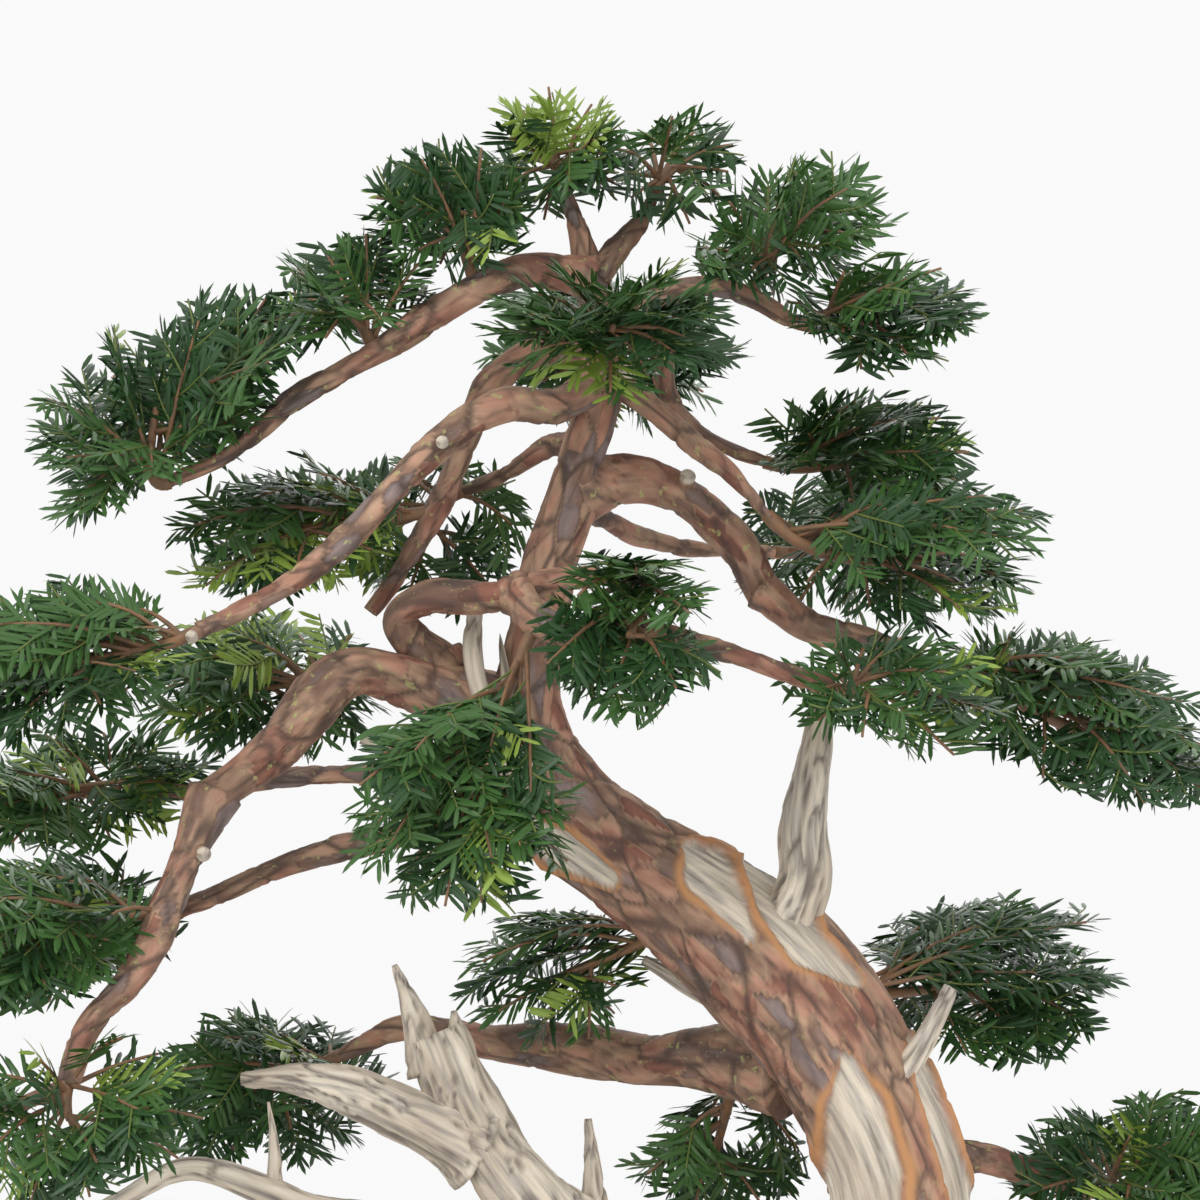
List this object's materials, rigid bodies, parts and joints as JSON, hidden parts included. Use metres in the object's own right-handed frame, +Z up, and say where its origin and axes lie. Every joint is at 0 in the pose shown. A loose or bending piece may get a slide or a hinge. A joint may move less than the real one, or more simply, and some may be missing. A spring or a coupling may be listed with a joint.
{
  "type": "english yew bonsai",
  "caption": "Potted yew bonsai: leaning trunk with root flare, twisting tapered boughs, bleached dead wood and open sprays of needles in a rounded rectangular pot.",
  "frame": {"origin": "centre of the pot's flat underside", "axes": "+Z up, -Y towards the tree's front, +X to the right seen from the front"},
  "size_m": [0.6698, 0.4392, 0.8693],
  "materials": {
    "bark": "flaking bark, matt",
    "deadwood": "bleached bare wood, matt",
    "needles": "waxy needles, satin",
    "pot": "unglazed clay, matt",
    "soil": "loose granules, matt"
  },
  "bodies": {
    "root": {"bough_apex": "bark", "bough_back_left": "bark", "bough_back_left_rear": "bark", "bough_back_right": "bark", "bough_back_upper": "bark", "bough_front_left": "bark", "bough_front_right": "bark", "bough_left_back": "bark", "bough_left_twisted": "bark", "bough_left_twisted_end": "bark", "bough_loop": "bark", "bough_low_left": "bark", "bough_low_right": "bark", "bough_lower_left": "bark", "bough_right_arch": "bark", "bough_right_arch_end": "bark", "bough_right_back": "bark", "bough_right_front": "bark", "bough_top_right": "bark", "bough_upper_left": "bark", "deadwood_lower_arm": "deadwood", "deadwood_trunk": "deadwood", "deadwood_upper_arm": "deadwood", "jin_left": "deadwood", "jin_right": "deadwood", "jin_small": "deadwood", "jin_upright": "deadwood", "needles_apex": "needles", "needles_apex_right": "needles", "needles_back_left": "needles", "needles_back_right": "needles", "needles_back_top": "needles", "needles_bottom_left": "needles", "needles_centre_back": "needles", "needles_centre_front": "needles", "needles_centre_right": "needles", "needles_left_end": "needles", "needles_left_front": "needles", "needles_left_low": "needles", "needles_left_mid": "needles", "needles_low_centre": "needles", "needles_low_front": "needles", "needles_low_left": "needles", "needles_low_right": "needles", "needles_lower_left": "needles", "needles_right_far": "needles", "needles_right_low": "needles", "needles_right_mid": "needles", "needles_right_near": "needles", "needles_right_upper": "needles", "needles_top_front": "needles", "needles_top_right": "needles", "needles_top_right_end": "needles", "needles_upper_end": "needles", "needles_upper_inner": "needles", "needles_upper_mid": "needles", "pot": "pot", "soil": "soil", "split_deadwood": "deadwood", "trunk": "bark"}
  },
  "joints": []
}
